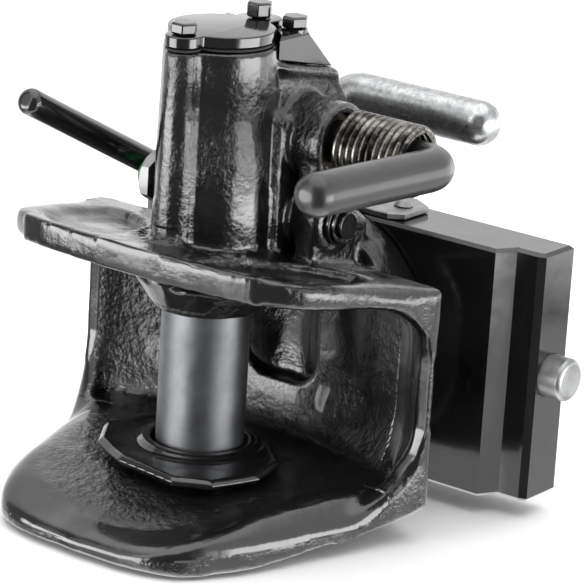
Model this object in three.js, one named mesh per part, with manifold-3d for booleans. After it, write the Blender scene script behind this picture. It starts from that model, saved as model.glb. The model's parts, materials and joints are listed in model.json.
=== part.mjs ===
// Automatic tractor trailer hitch on a height-adjustable slide plate.
// Units are millimetres, +Z is up, +Y points to the tractor and +X to the right of the drawn view.
// The origin is the middle of the slide plate's rear face, where the swivel axis leaves it.
// The head is drawn about the coupling pin: x = 0, y = 0 on its axis and z = 0 at its visible middle.
import * as THREE from 'three';
import { ConvexGeometry } from 'three/addons/geometries/ConvexGeometry.js';
import { mergeVertices } from 'three/addons/utils/BufferGeometryUtils.js';
import Module from 'manifold-3d';

const wasm = await Module();
wasm.setup();

// ---------- driving dimensions ----------
const PIN_R = 19;                 // coupling pin, 38 mm across
const GAP = 0.3;                  // clearance between pieces that touch
const PLATE_BACK = 113.4;         // slide plate's rear face behind the pin axis
const PLATE_T = 31.8;             // slide plate thickness
const PLATE_FRONT = PLATE_BACK - PLATE_T;
const PLATE_HALF_W = 109;
const PLATE_HALF_H = 56;
const SWIVEL_Z = 3.8;             // swivel axis above the pin's visible middle
const UPPER_HALF_W = 78.5;         // half width of the upper lip at its front corners
const LOWER_HALF_W = 66.5;        // half width of the lower lip at its front corners
const LIP_DROOP = 14;             // how far the lower lip's edge falls away and spreads
const WALL_HALF_W = 94;           // half width of the mouth at the wall rims
const RIM_Y = 34;                 // front of the wall rims
const WALL_T = 7.5;               // wall thickness at the rims
const MOUTH_BACK = 54;
const UPPER_FRONT = -55;
const LOWER_FRONT = -82;
const LIP_T = 12;
const TOWER_TOP = 146;
const COVER_T = 5;
const FRONT_EAR_R = 7.8;          // ears of the tower and top cover around their two bolts
const REAR_EAR_R = 9.8;
const BOLT_Y = 25;                // top cover bolts, in front of and behind the pin axis
const SHAFT_Y = 30;               // release shaft, which carries the torsion spring
const SHAFT_Z = 106;
const SHAFT_R = 9;
const LATCH_Y = 28;               // hand lever's shaft
const LATCH_Z = 72;
const LATCH_R = 6;
const HOUSING_HALF_W = 22;
const CAVITY_HALF_W = 12.8;
const CAP_TOP = 149.5;            // flat top of the rear cover
const COVER_BOLT_X = 16.5;        // rear cover bolt
const COVER_BOLT_Y = 28;
const BOSS_END = 44.3;            // outer end of the release shaft's boss, where the spring starts
const ARM_L = 44;                 // lift arm, shaft centre to roller centre
const ARM_ANGLE = -67;            // lift arm below the forward horizontal with the pin down
const LEVER_X = 94;               // plane of the bent release lever
const LEVER_L = 86;
const LEVER_RISE = 3;             // degrees the release lever rises towards its end
const HAND_X = -42;               // plane of the hand lever
const HAND_RISE = 26.7;           // degrees the hand lever rises towards its end
const HAND_ABOVE = 1.8;           // its rod passes this far above the shaft
const HAND_L = 113;
const INDICATOR_Y = -1;           // locking indicator on the left of the tower
const INDICATOR_Z = 82;
const INDICATOR_AF = 21;          // its hexagon, across flats
const LOCK_R = 9.5;               // slide locking pins
const LOCK_OUT = 11.2;            // how far they stand out of the slide plate
const LOCK_Y = PLATE_BACK - 11.4;
const STOP_X = 78;                // blind hole in the plate's front, over the locking pin
const HANDLE_Y = PLATE_FRONT + 15.8;
const HANDLE_R = 9.8;
const HANDLE_X = -8;              // handle's upright, left of the middle
const HANDLE_Z = 107.8;
const HANDLE_REACH = 84;
const RIVET_X = 38;               // bracket rivets, either side of the handle's upright
const POCKET_Y = PLATE_FRONT + 1.7;   // front of the drive pocket inside the slide plate
const CRANK_R = 11;               // slide handle's crank, axis to peg
const CRANK_Z = SWIVEL_Z + 45;

// ---------- looks ----------
const finish = (color, roughness, metalness) => new THREE.MeshStandardMaterial({ color, roughness, metalness });
const LOOKS = {
  enamel: () => finish(0x141416, 0.25, 0.1),
  steel: () => finish(0x75787c, 0.35, 0.9),
  zinc: () => finish(0xa9adae, 0.45, 0.8),
  spring: () => finish(0x2c2a27, 0.35, 0.7),
  green: () => finish(0x148a3c, 0.4, 0.0),
  bronze: () => finish(0x9a7440, 0.45, 0.8),
  gasket: () => finish(0x35332f, 0.9, 0.0),
  lining: () => finish(0x4a3f35, 0.9, 0.0),
};

// ---------- shape helpers ----------
const solid = (geometry) => {
  const bare = geometry.clone();
  bare.deleteAttribute('normal');
  bare.deleteAttribute('uv');
  const merged = mergeVertices(bare, 1e-4);
  return new wasm.Manifold(new wasm.Mesh({
    numProp: 3,
    vertProperties: new Float32Array(merged.attributes.position.array),
    triVerts: new Uint32Array(merged.index.array),
  }));
};

const toGeometry = (manifold) => {
  const mesh = manifold.getMesh();
  const geometry = new THREE.BufferGeometry();
  geometry.setAttribute('position', new THREE.BufferAttribute(new Float32Array(mesh.vertProperties), 3));
  geometry.setIndex(new THREE.BufferAttribute(new Uint32Array(mesh.triVerts), 1));
  geometry.computeVertexNormals();
  return geometry;
};

const join = (...solids) => solids.reduce((sum, next) => sum.add(next));
const cut = (body, ...tools) => tools.reduce((rest, tool) => rest.subtract(tool), body);

const box = (x0, x1, y0, y1, z0, z1) => {
  const geometry = new THREE.BoxGeometry(x1 - x0, y1 - y0, z1 - z0);
  geometry.translate((x0 + x1) / 2, (y0 + y1) / 2, (z0 + z1) / 2);
  return solid(geometry);
};

const AXES = {
  x: new THREE.Matrix4().makeBasis(
    new THREE.Vector3(0, 1, 0), new THREE.Vector3(0, 0, 1), new THREE.Vector3(1, 0, 0)),
  y: new THREE.Matrix4().makeBasis(
    new THREE.Vector3(0, 0, 1), new THREE.Vector3(1, 0, 0), new THREE.Vector3(0, 1, 0)),
  z: new THREE.Matrix4(),
};

// Cone or cylinder from a to b along an axis; centre gives the other two coordinates in x, y, z order.
const cone = (axis, r0, r1, centre, a, b, sides = 32) => {
  const geometry = new THREE.CylinderGeometry(r1, r0, b - a, sides);
  geometry.rotateX(Math.PI / 2);
  geometry.translate(0, 0, (a + b) / 2);
  geometry.applyMatrix4(AXES[axis]);
  const [u, v] = centre;
  const shift = { x: [0, u, v], y: [u, 0, v], z: [u, v, 0] }[axis];
  geometry.translate(...shift);
  return solid(geometry);
};
const cylinder = (axis, r, centre, a, b, sides = 32) => cone(axis, r, r, centre, a, b, sides);
const ring = (axis, outer, inner, centre, a, b, sides = 32) =>
  cut(cylinder(axis, outer, centre, a, b, sides), cylinder(axis, inner, centre, a - 1, b + 1, sides));

const outline = (points) => new THREE.Shape(points.map(([u, v]) => new THREE.Vector2(u, v)));
const extrude = (shape, depth, bevel = 0) => new THREE.ExtrudeGeometry(shape, {
  depth: depth - 2 * bevel,
  bevelEnabled: bevel > 0,
  bevelThickness: bevel,
  bevelSize: bevel,
  bevelOffset: -bevel,
  bevelSegments: 1,
  curveSegments: 8,
  steps: 1,
}).translate(0, 0, bevel);

// Outline in x and y raised from z0 to z1.
const raise = (shape, z0, z1, bevel = 0) => {
  const geometry = extrude(shape, z1 - z0, bevel);
  geometry.translate(0, 0, z0);
  return solid(geometry);
};
// Outline in y and z swept across from x0 to x1.
const sweepX = (shape, x0, x1, bevel = 0) => {
  const geometry = extrude(shape, x1 - x0, bevel);
  geometry.translate(0, 0, x0);
  geometry.applyMatrix4(AXES.x);
  return solid(geometry);
};

const mirrored = (half) => [...half, ...half.slice().reverse().map(([u, v]) => [-u, v])];
const rounded = (points) => new THREE.Shape(
  new THREE.CatmullRomCurve3(points.map(([u, v]) => new THREE.Vector3(u, v, 0)), true, 'centripetal')
    .getPoints(points.length * 2).slice(0, -1).map((p) => new THREE.Vector2(p.x, p.y)));

const hexagon = (across) => {
  const radius = across / Math.sqrt(3);
  const corner = (i) => [radius * Math.cos((i * Math.PI) / 3), radius * Math.sin((i * Math.PI) / 3)];
  return outline([0, 1, 2, 3, 4, 5].map(corner));
};

// Round bar along a curve; its ends are flat.
const bar = (curve, radius, steps, sides = 12) => {
  const section = new THREE.Shape();
  section.absarc(0, 0, radius, 0, Math.PI * 2);
  const geometry = new THREE.ExtrudeGeometry(section, {
    steps,
    curveSegments: sides / 2,
    extrudePath: curve,
    bevelEnabled: false,
  });
  return solid(geometry);
};

const ball = (r, x, y, z) => solid(new THREE.SphereGeometry(r, 16, 8).translate(x, y, z));
const vec = (x, y, z) => new THREE.Vector3(x, y, z);
const line = (a, b) => new THREE.LineCurve3(a, b);
const rad = THREE.MathUtils.degToRad;

// ---------- assembly ----------
const hitch = new THREE.Group();
hitch.name = 'trailer_hitch';
const placed = new THREE.Group();
placed.position.set(0, -PLATE_BACK, -SWIVEL_Z);
hitch.add(placed);

const add = (name, manifold, look) => {
  const mesh = new THREE.Mesh(toGeometry(manifold), LOOKS[look]());
  mesh.name = name;
  placed.add(mesh);
  return mesh;
};

// ---------- jaw casting ----------
const upperLip = () => {
  const plan = raise(rounded(mirrored([
    [10, UPPER_FRONT], [36, UPPER_FRONT + 2], [61, UPPER_FRONT + 6], [UPPER_HALF_W, -34], [85, 0],
    [WALL_HALF_W - 1, 30], [88, 38], [50, 42], [20, 48]])), 20, 80);
  const slope = (y) => 58.8 - 0.18 * y;
  const side = outline([
    [-70, slope(-70) - LIP_T - 0.8], [0, slope(0) - LIP_T + 1.7], [60, slope(60) - LIP_T + 3.2], [60, slope(60)],
    [-70, slope(-70)]]);
  const plate = plan.intersect(sweepX(side, -100, 100));
  const dish = raise(rounded([[-66, -30], [-46, -46], [-24, -44], [-30, -10], [-48, 14], [-70, 18]]), 20, 80);
  const floor = outline([[-70, slope(-70) - 4], [60, slope(60) - 4], [60, 90], [-70, 90]]);
  const recess = dish.intersect(sweepX(floor, -100, 100));
  return cut(plate, recess, recess.mirror([1, 0, 0]));
};

const lowerLip = () => {
  const top = -33;
  const edge = rounded(mirrored([
    [12, LOWER_FRONT], [31, LOWER_FRONT + 2], [46, -74], [56, -62], [LOWER_HALF_W, -42], [73, -10],
    [83, 14], [91, 32], [84, 42], [40, 68]])).getPoints();
  const shrink = 1 - LIP_DROOP / 80;
  const drooping = edge.flatMap(({ x, y }) => [
    vec(x, y, -80), vec(x, y, top - LIP_DROOP), vec(x * shrink, y < 0 ? y * shrink : y, top)]);
  const side = outline([
    [-90, -57.5], [-70, -60], [-45, -59.5], [-20, -56.5], [20, -51], [70, -42], [70, -30], [46, -33], [0, -35.5],
    [-34, -37.5], [-58, -42], [-76, -49], [-90, -56]]);
  return solid(new ConvexGeometry(drooping)).intersect(sweepX(side, -100, 100));
};

// Room inside the mouth: level sections of the funnel, drawn in by a fillet at the floor and at the roof.
const mouthRoom = () => {
  const inset = [[-37, 26], [-34, 14], [-29, 7], [-22, 2.5], [-11, 0], [34, 0], [39, 1.5], [43, 5], [46, 12]];
  const half = [[71, -12], [79, 12], [WALL_HALF_W - WALL_T, RIM_Y], [80, 39.5], [70, 44], [56, 48.5],
    [40, 52], [20, MOUTH_BACK]];
  const points = inset.flatMap(([z, o]) => half.flatMap(([x, y]) => {
    const across = x - o * Math.min(1, (x - 10) / 60);
    const deep = y > RIM_Y ? y - o * 0.8 : y;
    return [vec(across, deep, z), vec(-across, deep, z)];
  }));
  return solid(new ConvexGeometry(points));
};

const funnelWalls = () => {
  const outer = mirrored([
    [40, 67], [WALL_HALF_W - 1, 38], [WALL_HALF_W, RIM_Y], [WALL_HALF_W - WALL_T - 8, RIM_Y], [64, 34], [30, 30]]);
  const block = raise(outline(outer), -56, 54);
  const side = outline([[20, -50], [36, -48], [70, -39], [70, 40], [42, 51], [20, 55]]);
  return block.intersect(sweepX(side, -100, 100));
};

// Bars that take the outer corners off the wall rims, above and below.
const rimCorners = () => {
  const above = box(-4, 4, -34, 16, -4, 4).rotate([0, 45, 0]).rotate([-10.2, 0, 0]).rotate([0, 0, -16])
    .translate([95.3, 34, 54.4]);
  const below = box(-5.5, 5.5, -30, 30, -5.5, 5.5).rotate([0, 45, 0]).rotate([10, 0, 0]).rotate([0, 0, -16])
    .translate([95.4, 35, -49.4]);
  const right = join(above, below);
  return join(right, right.mirror([1, 0, 0]));
};

// Hollowed recess in the mouth's back wall behind the pin, with a round bottom.
const backRecess = () => join(
  box(-19, 19, 44, 72, -2, 34),
  box(-7, 7, 44, 72, -14, 0),
  cylinder('y', 12, [7, -2], 44, 72, 28),
  cylinder('y', 12, [-7, -2], 44, 72, 28)).intersect(cylinder('z', 28, [0, 36], -20, 40, 64));

// The wall rims sweep forward in concave curves into both lips.
const rimFlares = () => {
  const upper = raise(outline([[72, 0], [83, 0], [WALL_HALF_W - 1, 30], [WALL_HALF_W, 38], [84, 40]]), 20, 60)
    .intersect(sweepX(outline([
      [2, 54], [2, 48.5], [14, 46], [24, 41], [31, 33], [RIM_Y, 22], [40, 22], [40, 52]]), 60, 100));
  const plan = outline([
    [60, -20], [70, -20], [78, 0], [83, 12], [WALL_HALF_W - 2, 30], [WALL_HALF_W, 38], [84, 40], [74, 10]]);
  const lower = raise(plan, -60, 0)
    .intersect(sweepX(outline([
      [-20, -50], [-20, -48], [-6, -47], [3, -44.5], [11, -41], [19, -36], [26, -29.5], [31, -21], [RIM_Y, -10],
      [40, -10], [40, -47]]), 60, 100));
  const right = join(upper, lower);
  return join(right, right.mirror([1, 0, 0]));
};

const tower = () => join(
  cone('z', 25.6, 24, [0, 0], 45, TOWER_TOP, 40),
  cone('z', FRONT_EAR_R + 1.6, FRONT_EAR_R, [0, -BOLT_Y], 48, TOWER_TOP, 24),
  cone('z', REAR_EAR_R + 1, REAR_EAR_R, [0, BOLT_Y], 60, TOWER_TOP, 24));

// Height of the slanting joint between the housing and its cover.
const jointZ = (y) => 138.2 - 0.203 * (y - 15.5);

const housing = () => {
  const shell = sweepX(outline([
    [6, 40], [6, jointZ(6)], [48.5, jointZ(48.5)], [65, 108], [69.5, 84], [66, 40]]), -HOUSING_HALF_W, HOUSING_HALF_W);
  const rim = sweepX(outline([
    [10, jointZ(10)], [49, jointZ(49)], [66.5, 107], [63.5, 104.5], [47, jointZ(47) - 3.8],
    [10, jointZ(10) - 3.8]]), -24, 24, 1.2);
  const pad = sweepX(outline([[8, 44], [8, 117], [46, 117], [46, 44]]), 18, 27, 2);
  const shaftBoss = cylinder('x', 17.2, [SHAFT_Y, SHAFT_Z], 18, BOSS_END, 32);
  const slab = sweepX(outline([[14, 44], [14, SHAFT_Z], [46, SHAFT_Z], [46, 44]]), 33, 43);
  const latchBosses = join(
    cone('x', 14, 12.5, [LATCH_Y, LATCH_Z], 18, 45, 24),
    cone('x', 12, 12.5, [LATCH_Y, LATCH_Z], -36, -18, 24),
    box(-34, -20, 22, 34, 46, 70));
  const indicatorBoss = cylinder('x', 10, [INDICATOR_Y, INDICATOR_Z], -25.6, -16, 20);
  const gusset = sweepX(outline([[30, 44], [66, 36], [66, 64], [44, 80], [30, 80]]), -34, 34);
  return join(shell, rim, pad, shaftBoss, slab, latchBosses, indicatorBoss, gusset);
};

const neck = () => join(
  cone('y', 44, 61, [0, SWIVEL_Z], 56, 61, 40),
  cylinder('y', 61, [0, SWIVEL_Z], 60, PLATE_FRONT - 0.5, 40),
  cylinder('y', 24, [0, SWIVEL_Z], 60, PLATE_BACK + 4, 32),
  cylinder('y', 17.7, [0, SWIVEL_Z], 60, PLATE_BACK + 36, 24));

const jawCasting = () => {
  const pinBoss = cone('z', 23, 32, [0, 0], 31.5, 46, 36);
  const walls = cut(join(funnelWalls(), rimFlares()), mouthRoom());
  const shell = join(upperLip(), lowerLip(), walls, tower(), housing(), neck(), pinBoss);
  const roof = outline([[0, 106], [0, 145], [43, 137], [45.5, 129], [59.5, 109], [58, 106]]);
  return cut(shell,
    backRecess(),
    rimCorners(),
    cylinder('z', 21.3, [0, 0], -70, 82, 40),
    cylinder('z', 20, [0, 0], 80, 200, 40),
    box(-CAVITY_HALF_W, CAVITY_HALF_W, 0, 61, 58, 107),
    sweepX(roof, -CAVITY_HALF_W, CAVITY_HALF_W)
      .subtract(cylinder('z', REAR_EAR_R + 0.6, [0, BOLT_Y], 131, 160, 24)),
    cylinder('z', 3.3, [COVER_BOLT_X, COVER_BOLT_Y], 121, 150, 16),
    cylinder('x', 12.3, [SHAFT_Y, SHAFT_Z], 0, 60, 28),
    cylinder('x', 12.3, [SHAFT_Y, SHAFT_Z], -60, 0, 28),
    cylinder('x', LATCH_R + GAP, [LATCH_Y, LATCH_Z], -60, 60, 24),
    cylinder('x', 6.5, [INDICATOR_Y, INDICATOR_Z], -50, 0, 24),
    cylinder('x', 8.3, [INDICATOR_Y, INDICATOR_Z], -50, -22.5, 24),
    cylinder('z', 3.3, [0, -BOLT_Y], 132, 160, 16),
    cylinder('z', 3.3, [0, BOLT_Y], 134, 160, 16),
    cylinder('x', 2.4, [PLATE_BACK + 27.5, SWIVEL_Z], -30, 30, 12));
};

// ---------- covers and bolts ----------
const coverPlan = (grow) => join(
  cylinder('z', 22.5 + grow, [0, 0], 0, 100, 40),
  cylinder('z', FRONT_EAR_R + grow, [0, -BOLT_Y], 0, 100, 24),
  cylinder('z', REAR_EAR_R + grow, [0, BOLT_Y], 0, 100, 24));

const coverSlab = (grow, z0, z1) => cut(
  coverPlan(grow).translate([0, 0, 60]).intersect(box(-60, 60, -60, 60, z0, z1)),
  cylinder('z', 3.3, [0, -BOLT_Y], 60, 200, 16),
  cylinder('z', 3.3, [0, BOLT_Y], 60, 200, 16));

const bolt = (x, y, seat, length, head = 5) => join(
  raise(hexagon(10), seat, seat + head, 0.6),
  cylinder('z', 3, [0, 0], seat - length, seat + 1, 16)).translate([x, y, 0]);

const rearCover = () => {
  const low = (y) => jointZ(y) + GAP;
  const cap = sweepX(outline([
    [6, low(6)], [6, CAP_TOP], [31, CAP_TOP], [49.2, low(49.2)]]),
  -HOUSING_HALF_W - 0.4, HOUSING_HALF_W + 0.4, 1.2);
  const boss = cylinder('z', 5.6, [COVER_BOLT_X, COVER_BOLT_Y], 140, CAP_TOP + 1, 20);
  const hollow = sweepX(outline([[0, 120], [0, 145.5], [29, 145.5], [43, 132], [46, 120]]),
    -CAVITY_HALF_W, CAVITY_HALF_W);
  return cut(join(cap, boss), hollow,
    cylinder('z', 24.8, [0, 0], 100, 160, 64),
    cylinder('z', REAR_EAR_R + 0.7, [0, BOLT_Y], 100, 160, 24),
    cylinder('z', 3.3, [COVER_BOLT_X, COVER_BOLT_Y], 120, 160, 16));
};

// ---------- coupling pin and its guides ----------
const couplingPin = () => {
  const shank = join(
    cone('z', 15.5, PIN_R, [0, 0], -41, -36, 40),
    cylinder('z', PIN_R, [0, 0], -36, 74, 40),
    cone('z', PIN_R, 17, [0, 0], 74, 76, 40));
  const slot = sweepX(outline([
    [-30, 55.6], [1, 55.6], [15, 43.4], [17, 29.5], [30, 29.5], [30, 90], [17, 90], [9, 79], [3, 73.8],
    [-30, 73]]), -7, 7);
  return cut(shank, slot);
};

const wearPlate = () => {
  const plan = outline([
    [-42, -14], [-32, -30], [-12, -40], [20, -44], [36, -36], [44, -14], [40, 6], [22, 22],
    [-22, 22], [-40, 8]]);
  const plate = raise(plan, -34.4, -29.8, 2.2);
  const rim = cone('z', 28, 24.5, [0, 0], -31, -27.6, 36);
  return cut(join(plate, rim), cylinder('z', 21, [0, 0], -60, 0, 40));
};

const upperBush = () => ring('z', 21, PIN_R + GAP, [0, 0], 32.5, 53, 32);
const lowerBush = () => ring('z', 21 - 0.1, PIN_R + GAP, [0, 0], -56, -35, 40);

// ---------- release lever, lift arm and torsion spring ----------
const releaseLever = () => {
  const rise = rad(LEVER_RISE);
  const end = vec(LEVER_X, SHAFT_Y - LEVER_L * Math.cos(rise), SHAFT_Z + LEVER_L * Math.sin(rise));
  const bendR = 11;
  const enter = vec(LEVER_X - bendR, SHAFT_Y, SHAFT_Z);
  const corner = vec(LEVER_X, SHAFT_Y, SHAFT_Z);
  const leave = corner.clone().lerp(end, bendR / LEVER_L);
  const shaft = cylinder('x', SHAFT_R, [SHAFT_Y, SHAFT_Z], -21, LEVER_X - bendR + 0.5, 24);
  const elbow = bar(new THREE.QuadraticBezierCurve3(enter, corner, leave), SHAFT_R, 6, 20);
  const arm = bar(line(leave.clone().lerp(enter, 0.02), end), SHAFT_R, 1, 20);
  const knob = ball(SHAFT_R, end.x, end.y, end.z);
  return cut(join(shaft, elbow, arm, knob), cylinder('z', 2.6, [0, SHAFT_Y], 60, 160, 12));
};

const liftArm = () => {
  const angle = rad(ARM_ANGLE);
  const tipY = SHAFT_Y - ARM_L * Math.cos(angle);
  const tipZ = SHAFT_Z + ARM_L * Math.sin(angle);
  const along = [-Math.cos(angle), Math.sin(angle)];
  const across = [Math.sin(angle) * 4.4, Math.cos(angle) * 4.4];
  const at = (s, side) => [SHAFT_Y + along[0] * s + across[0] * side, SHAFT_Z + along[1] * s + across[1] * side];
  const web = sweepX(outline([at(6, 1), at(6, -1), at(ARM_L, -1), at(ARM_L, 1)]), -5, 5);
  const hub = cylinder('x', 12.2, [SHAFT_Y, SHAFT_Z], -5.5, 5.5, 28);
  const tip = cylinder('x', 4.4, [tipY, tipZ], -5, 5, 16);
  return cut(join(web, hub, tip),
    cylinder('x', SHAFT_R + GAP, [SHAFT_Y, SHAFT_Z], -20, 20, 24),
    cylinder('z', 2.6, [0, SHAFT_Y], 60, 160, 12));
};

const torsionSpring = () => {
  const turns = 11;
  const wire = 1.6;
  const coilR = 13.6;
  const x0 = BOSS_END + 3;
  const x1 = 83.1;
  class Coil extends THREE.Curve {
    getPoint(t, target = new THREE.Vector3()) {
      const a = t * turns * Math.PI * 2;
      return target.set(x0 + (x1 - x0) * t, SHAFT_Y + coilR * Math.sin(a), SHAFT_Z + coilR * Math.cos(a));
    }
  }
  return bar(new Coil(), wire, Math.round(turns * 12), 6);
};

// ---------- hand lever, its shaft and the latch ----------
const handLever = () => {
  const rise = rad(HAND_RISE);
  const point = (s) => vec(
    HAND_X, LATCH_Y - s * Math.cos(rise), LATCH_Z + HAND_ABOVE + s * Math.sin(rise));
  const rod = bar(line(point(2), point(HAND_L - 2)), 5.7, 1, 20);
  const tip = bar(line(point(HAND_L - 2.1), point(HAND_L)), 4.6, 1, 20);
  const hub = cylinder('x', 9, [LATCH_Y, LATCH_Z], HAND_X - 5, HAND_X + 5, 24);
  return cut(join(rod, tip, hub), cylinder('x', LATCH_R + GAP, [LATCH_Y, LATCH_Z], -80, 0, 24));
};

const latchShaft = () => cut(
  cylinder('x', LATCH_R, [LATCH_Y, LATCH_Z], HAND_X - 7.5, 51, 24),
  ring('x', LATCH_R + 1, LATCH_R - 1, [LATCH_Y, LATCH_Z], 47.6, 49.2, 24));

const latchPawl = () => {
  const finger = sweepX(outline([[26, 74], [34, 74], [39, 92], [33, 93]]), 6.2, 12.4);
  const hub = cylinder('x', 9, [LATCH_Y, LATCH_Z], 6.2, 12.4, 24);
  return cut(join(finger, hub), cylinder('x', LATCH_R + GAP, [LATCH_Y, LATCH_Z], 0, 20, 24));
};

// ---------- locking indicator ----------
const indicatorBush = () => {
  const rounding = cone('x', 10.2, 14, [INDICATOR_Y, INDICATOR_Z], -31.4, -28, 32)
    .add(cylinder('x', 14, [INDICATOR_Y, INDICATOR_Z], -28, -25.9, 32));
  const hex = solid(extrude(hexagon(INDICATOR_AF), 5.5).rotateY(Math.PI / 2).translate(-31.4, INDICATOR_Y, INDICATOR_Z));
  const flange = hex.intersect(rounding);
  const collar = cylinder('x', 8, [INDICATOR_Y, INDICATOR_Z], -28, -22.8, 24);
  return cut(join(flange, collar), cylinder('x', 6.5, [INDICATOR_Y, INDICATOR_Z], -60, 0, 24));
};
const indicatorPin = () => join(
  cylinder('x', 6.2, [INDICATOR_Y, INDICATOR_Z], -35.1, -23.4, 24),
  cone('x', 5.4, 6.2, [INDICATOR_Y, INDICATOR_Z], -35.9, -35.1, 24));

// ---------- slide plate ----------
const slidePlate = () => {
  const tongueFront = PLATE_FRONT + 9;
  const block = PLATE_HALF_W - 19;
  const plan = outline([
    [-PLATE_HALF_W, PLATE_BACK], [PLATE_HALF_W, PLATE_BACK], [PLATE_HALF_W, tongueFront + 1.6],
    [PLATE_HALF_W - 3.5, tongueFront], [block + 5, tongueFront], [block, PLATE_FRONT],
    [-block, PLATE_FRONT], [-block - 5, tongueFront], [-PLATE_HALF_W + 3.5, tongueFront],
    [-PLATE_HALF_W, tongueFront + 1.6]]);
  const low = SWIVEL_Z - PLATE_HALF_H;
  const high = SWIVEL_Z + PLATE_HALF_H;
  const body = raise(plan, low, high, 1.5);
  const lockBore = (side) => cylinder('x', LOCK_R + GAP, [LOCK_Y, SWIVEL_Z],
    side > 0 ? 50 : -PLATE_HALF_W - 5, side > 0 ? PLATE_HALF_W + 5 : -50, 28);
  return cut(body,
    cylinder('y', 28, [0, SWIVEL_Z], 60, PLATE_BACK + 5, 40),
    cylinder('y', 35.8, [0, SWIVEL_Z], 60, PLATE_FRONT + 4, 36),
    lockBore(1),
    lockBore(-1),
    box(-66, 66, POCKET_Y, PLATE_BACK + 1, CRANK_Z - 6.5, CRANK_Z + 6),
    box(42, 66, PLATE_FRONT + 10.4, PLATE_BACK + 1, SWIVEL_Z - 6.5, CRANK_Z + 1),
    box(-66, -42, POCKET_Y, PLATE_BACK + 1, SWIVEL_Z - 6.5, CRANK_Z + 1),
    cut(box(-67.2, 67.2, PLATE_BACK - 2.6, PLATE_BACK + 1, SWIVEL_Z - 8, CRANK_Z + 8.5),
      cylinder('y', 35, [0, SWIVEL_Z], 60, 120, 36)),
    cylinder('z', HANDLE_R + GAP, [HANDLE_X, HANDLE_Y], CRANK_Z, high + 5, 28),
    cylinder('y', 4, [STOP_X, SWIVEL_Z - 1.4], 60, PLATE_FRONT + 1.4, 24),
    cylinder('z', 2.6, [HANDLE_X + RIVET_X, HANDLE_Y], high - 6, high + 5, 12),
    cylinder('z', 2.6, [HANDLE_X - RIVET_X, HANDLE_Y], high - 6, high + 5, 12));
};

const slideCover = () => cut(
  box(-66.8, 66.8, PLATE_BACK - 2.3, PLATE_BACK - 0.3, SWIVEL_Z - 7.6, CRANK_Z + 8.1),
  cylinder('y', 35.4, [0, SWIVEL_Z], 60, 120, 36),
  box(-35.4, 35.4, PLATE_BACK - 4, PLATE_BACK + 1, SWIVEL_Z - 8, SWIVEL_Z));

// ---------- locking pins and their drive ----------
const lockingPin = (side) => {
  const shank = join(
    cylinder('x', LOCK_R - 2, [LOCK_Y, SWIVEL_Z], 67, 80, 24),
    cylinder('x', LOCK_R, [LOCK_Y, SWIVEL_Z], 79, PLATE_HALF_W + LOCK_OUT - 1.5, 32),
    cone('x', LOCK_R, LOCK_R - 1.5, [LOCK_Y, SWIVEL_Z], PLATE_HALF_W + LOCK_OUT - 1.5, PLATE_HALF_W + LOCK_OUT, 32),
    cylinder('x', 3.5, [LOCK_Y, SWIVEL_Z], 56, 68, 16));
  return side > 0 ? shank : shank.mirror([1, 0, 0]);
};

const pullStrap = (side) => {
  const axis = side * HANDLE_X;
  const pegY = HANDLE_Y + side * CRANK_R;
  const y0 = pegY - 2.7;
  const y1 = pegY + 2.7;
  const innerY = HANDLE_Y + side * 0.6;
  const reach = join(
    box(axis - 7.4, 65.6, y0, y1, CRANK_Z - 6, CRANK_Z - 3.6),
    box(axis - 7.4, axis - 3.8, Math.min(y0, innerY), Math.max(y1, innerY), CRANK_Z - 6, CRANK_Z - 1.4),
    box(58, 65.6, y0, y1, SWIVEL_Z - 6, CRANK_Z - 3.6),
    box(58, 65.6, Math.min(y0, LOCK_Y - 5.5), Math.max(y1, LOCK_Y + 5.5), SWIVEL_Z - 6, SWIVEL_Z + 6));
  const strap = cut(reach, cylinder('x', 3.8, [LOCK_Y, SWIVEL_Z], 50, 80, 16));
  return side > 0 ? strap : strap.mirror([1, 0, 0]);
};

const handle = () => {
  const bendR = 15;
  const foot = vec(HANDLE_X, HANDLE_Y, CRANK_Z + 5.5);
  const corner = vec(HANDLE_X, HANDLE_Y, HANDLE_Z);
  const enter = vec(HANDLE_X, HANDLE_Y, HANDLE_Z - bendR);
  const leave = vec(HANDLE_X + bendR, HANDLE_Y, HANDLE_Z);
  const end = vec(HANDLE_X + HANDLE_REACH - HANDLE_R, HANDLE_Y, HANDLE_Z);
  return join(
    bar(line(foot, enter), HANDLE_R, 1, 20),
    bar(new THREE.QuadraticBezierCurve3(enter.clone().add(vec(0, 0, -0.3)), corner, leave), HANDLE_R, 6, 20),
    bar(line(leave.clone().add(vec(-0.3, 0, 0)), end), HANDLE_R, 1, 20),
    ball(HANDLE_R, end.x, end.y, end.z));
};

const handleCrank = () => join(
  box(-4.5, 4.5, -CRANK_R - 2, CRANK_R + 2, -1.1, 5.1).intersect(cylinder('z', CRANK_R + 1.9, [0, 0], -5, 9, 32)),
  cylinder('z', 1.7, [0, CRANK_R], -3.3, 0, 16),
  cylinder('z', 1.7, [0, -CRANK_R], -3.3, 0, 16)).translate([HANDLE_X, HANDLE_Y, CRANK_Z]);

const bracket = () => {
  const top = SWIVEL_Z + PLATE_HALF_H;
  const plan = outline([
    [-46, PLATE_FRONT + 6], [-40, PLATE_FRONT + 1], [40, PLATE_FRONT + 1], [46, PLATE_FRONT + 6],
    [46, PLATE_BACK - 8], [36, PLATE_BACK - 2], [-36, PLATE_BACK - 2], [-46, PLATE_BACK - 8]]);
  return cut(raise(plan, top + GAP, top + 3.3, 0.5),
    cylinder('z', HANDLE_R + GAP, [0, HANDLE_Y], 50, 100, 28),
    cylinder('z', 2.8, [RIVET_X, HANDLE_Y], 50, 100, 12),
    cylinder('z', 2.8, [-RIVET_X, HANDLE_Y], 50, 100, 12)).translate([HANDLE_X, 0, 0]);
};

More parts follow.
